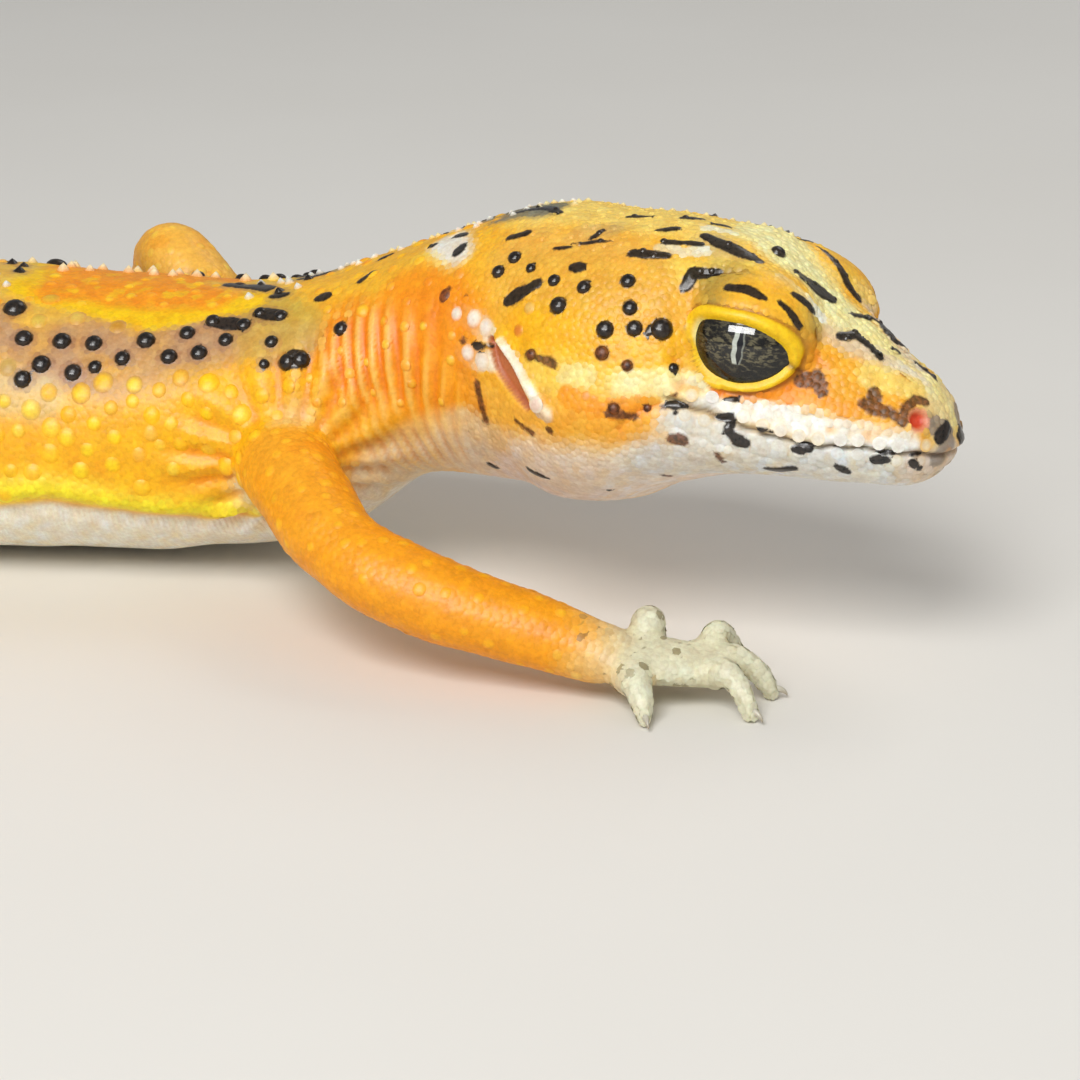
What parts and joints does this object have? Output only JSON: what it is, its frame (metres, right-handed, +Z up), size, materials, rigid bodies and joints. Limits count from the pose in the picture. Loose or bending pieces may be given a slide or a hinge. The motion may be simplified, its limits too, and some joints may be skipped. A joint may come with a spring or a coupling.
{
  "type": "leopard gecko",
  "caption": "Life-size still model of a spotted orange and yellow leopard gecko lying on its belly, head raised and turned, one forelimb reaching forward, fat tail behind.",
  "frame": {"origin": "middle of the flat under the belly, on the floor", "axes": "+X forward along the body, the way the animal faces; +Y its left; +Z up"},
  "size_m": [0.1815, 0.0742, 0.023],
  "materials": {
    "skin": "soft granular skin with low round bumps, satin",
    "pale_skin": "fine-scaled pale skin, satin",
    "eye": "wet gloss"
  },
  "bodies": {
    "root": {"head": "skin", "neck": "skin", "trunk_front": "skin", "trunk_rear": "skin", "tail_base": "skin", "tail_middle": "skin", "tail_tip": "skin", "right_upper_arm": "skin", "right_forearm": "skin", "right_thigh": "skin", "right_shin": "skin", "left_upper_arm": "skin", "left_forearm": "skin", "left_thigh": "skin", "left_shin": "skin", "lower_jaw": "pale_skin", "right_hand": "pale_skin", "right_foot": "pale_skin", "left_hand": "pale_skin", "left_foot": "pale_skin", "eye_right": "eye", "eye_left": "eye"}
  },
  "joints": []
}
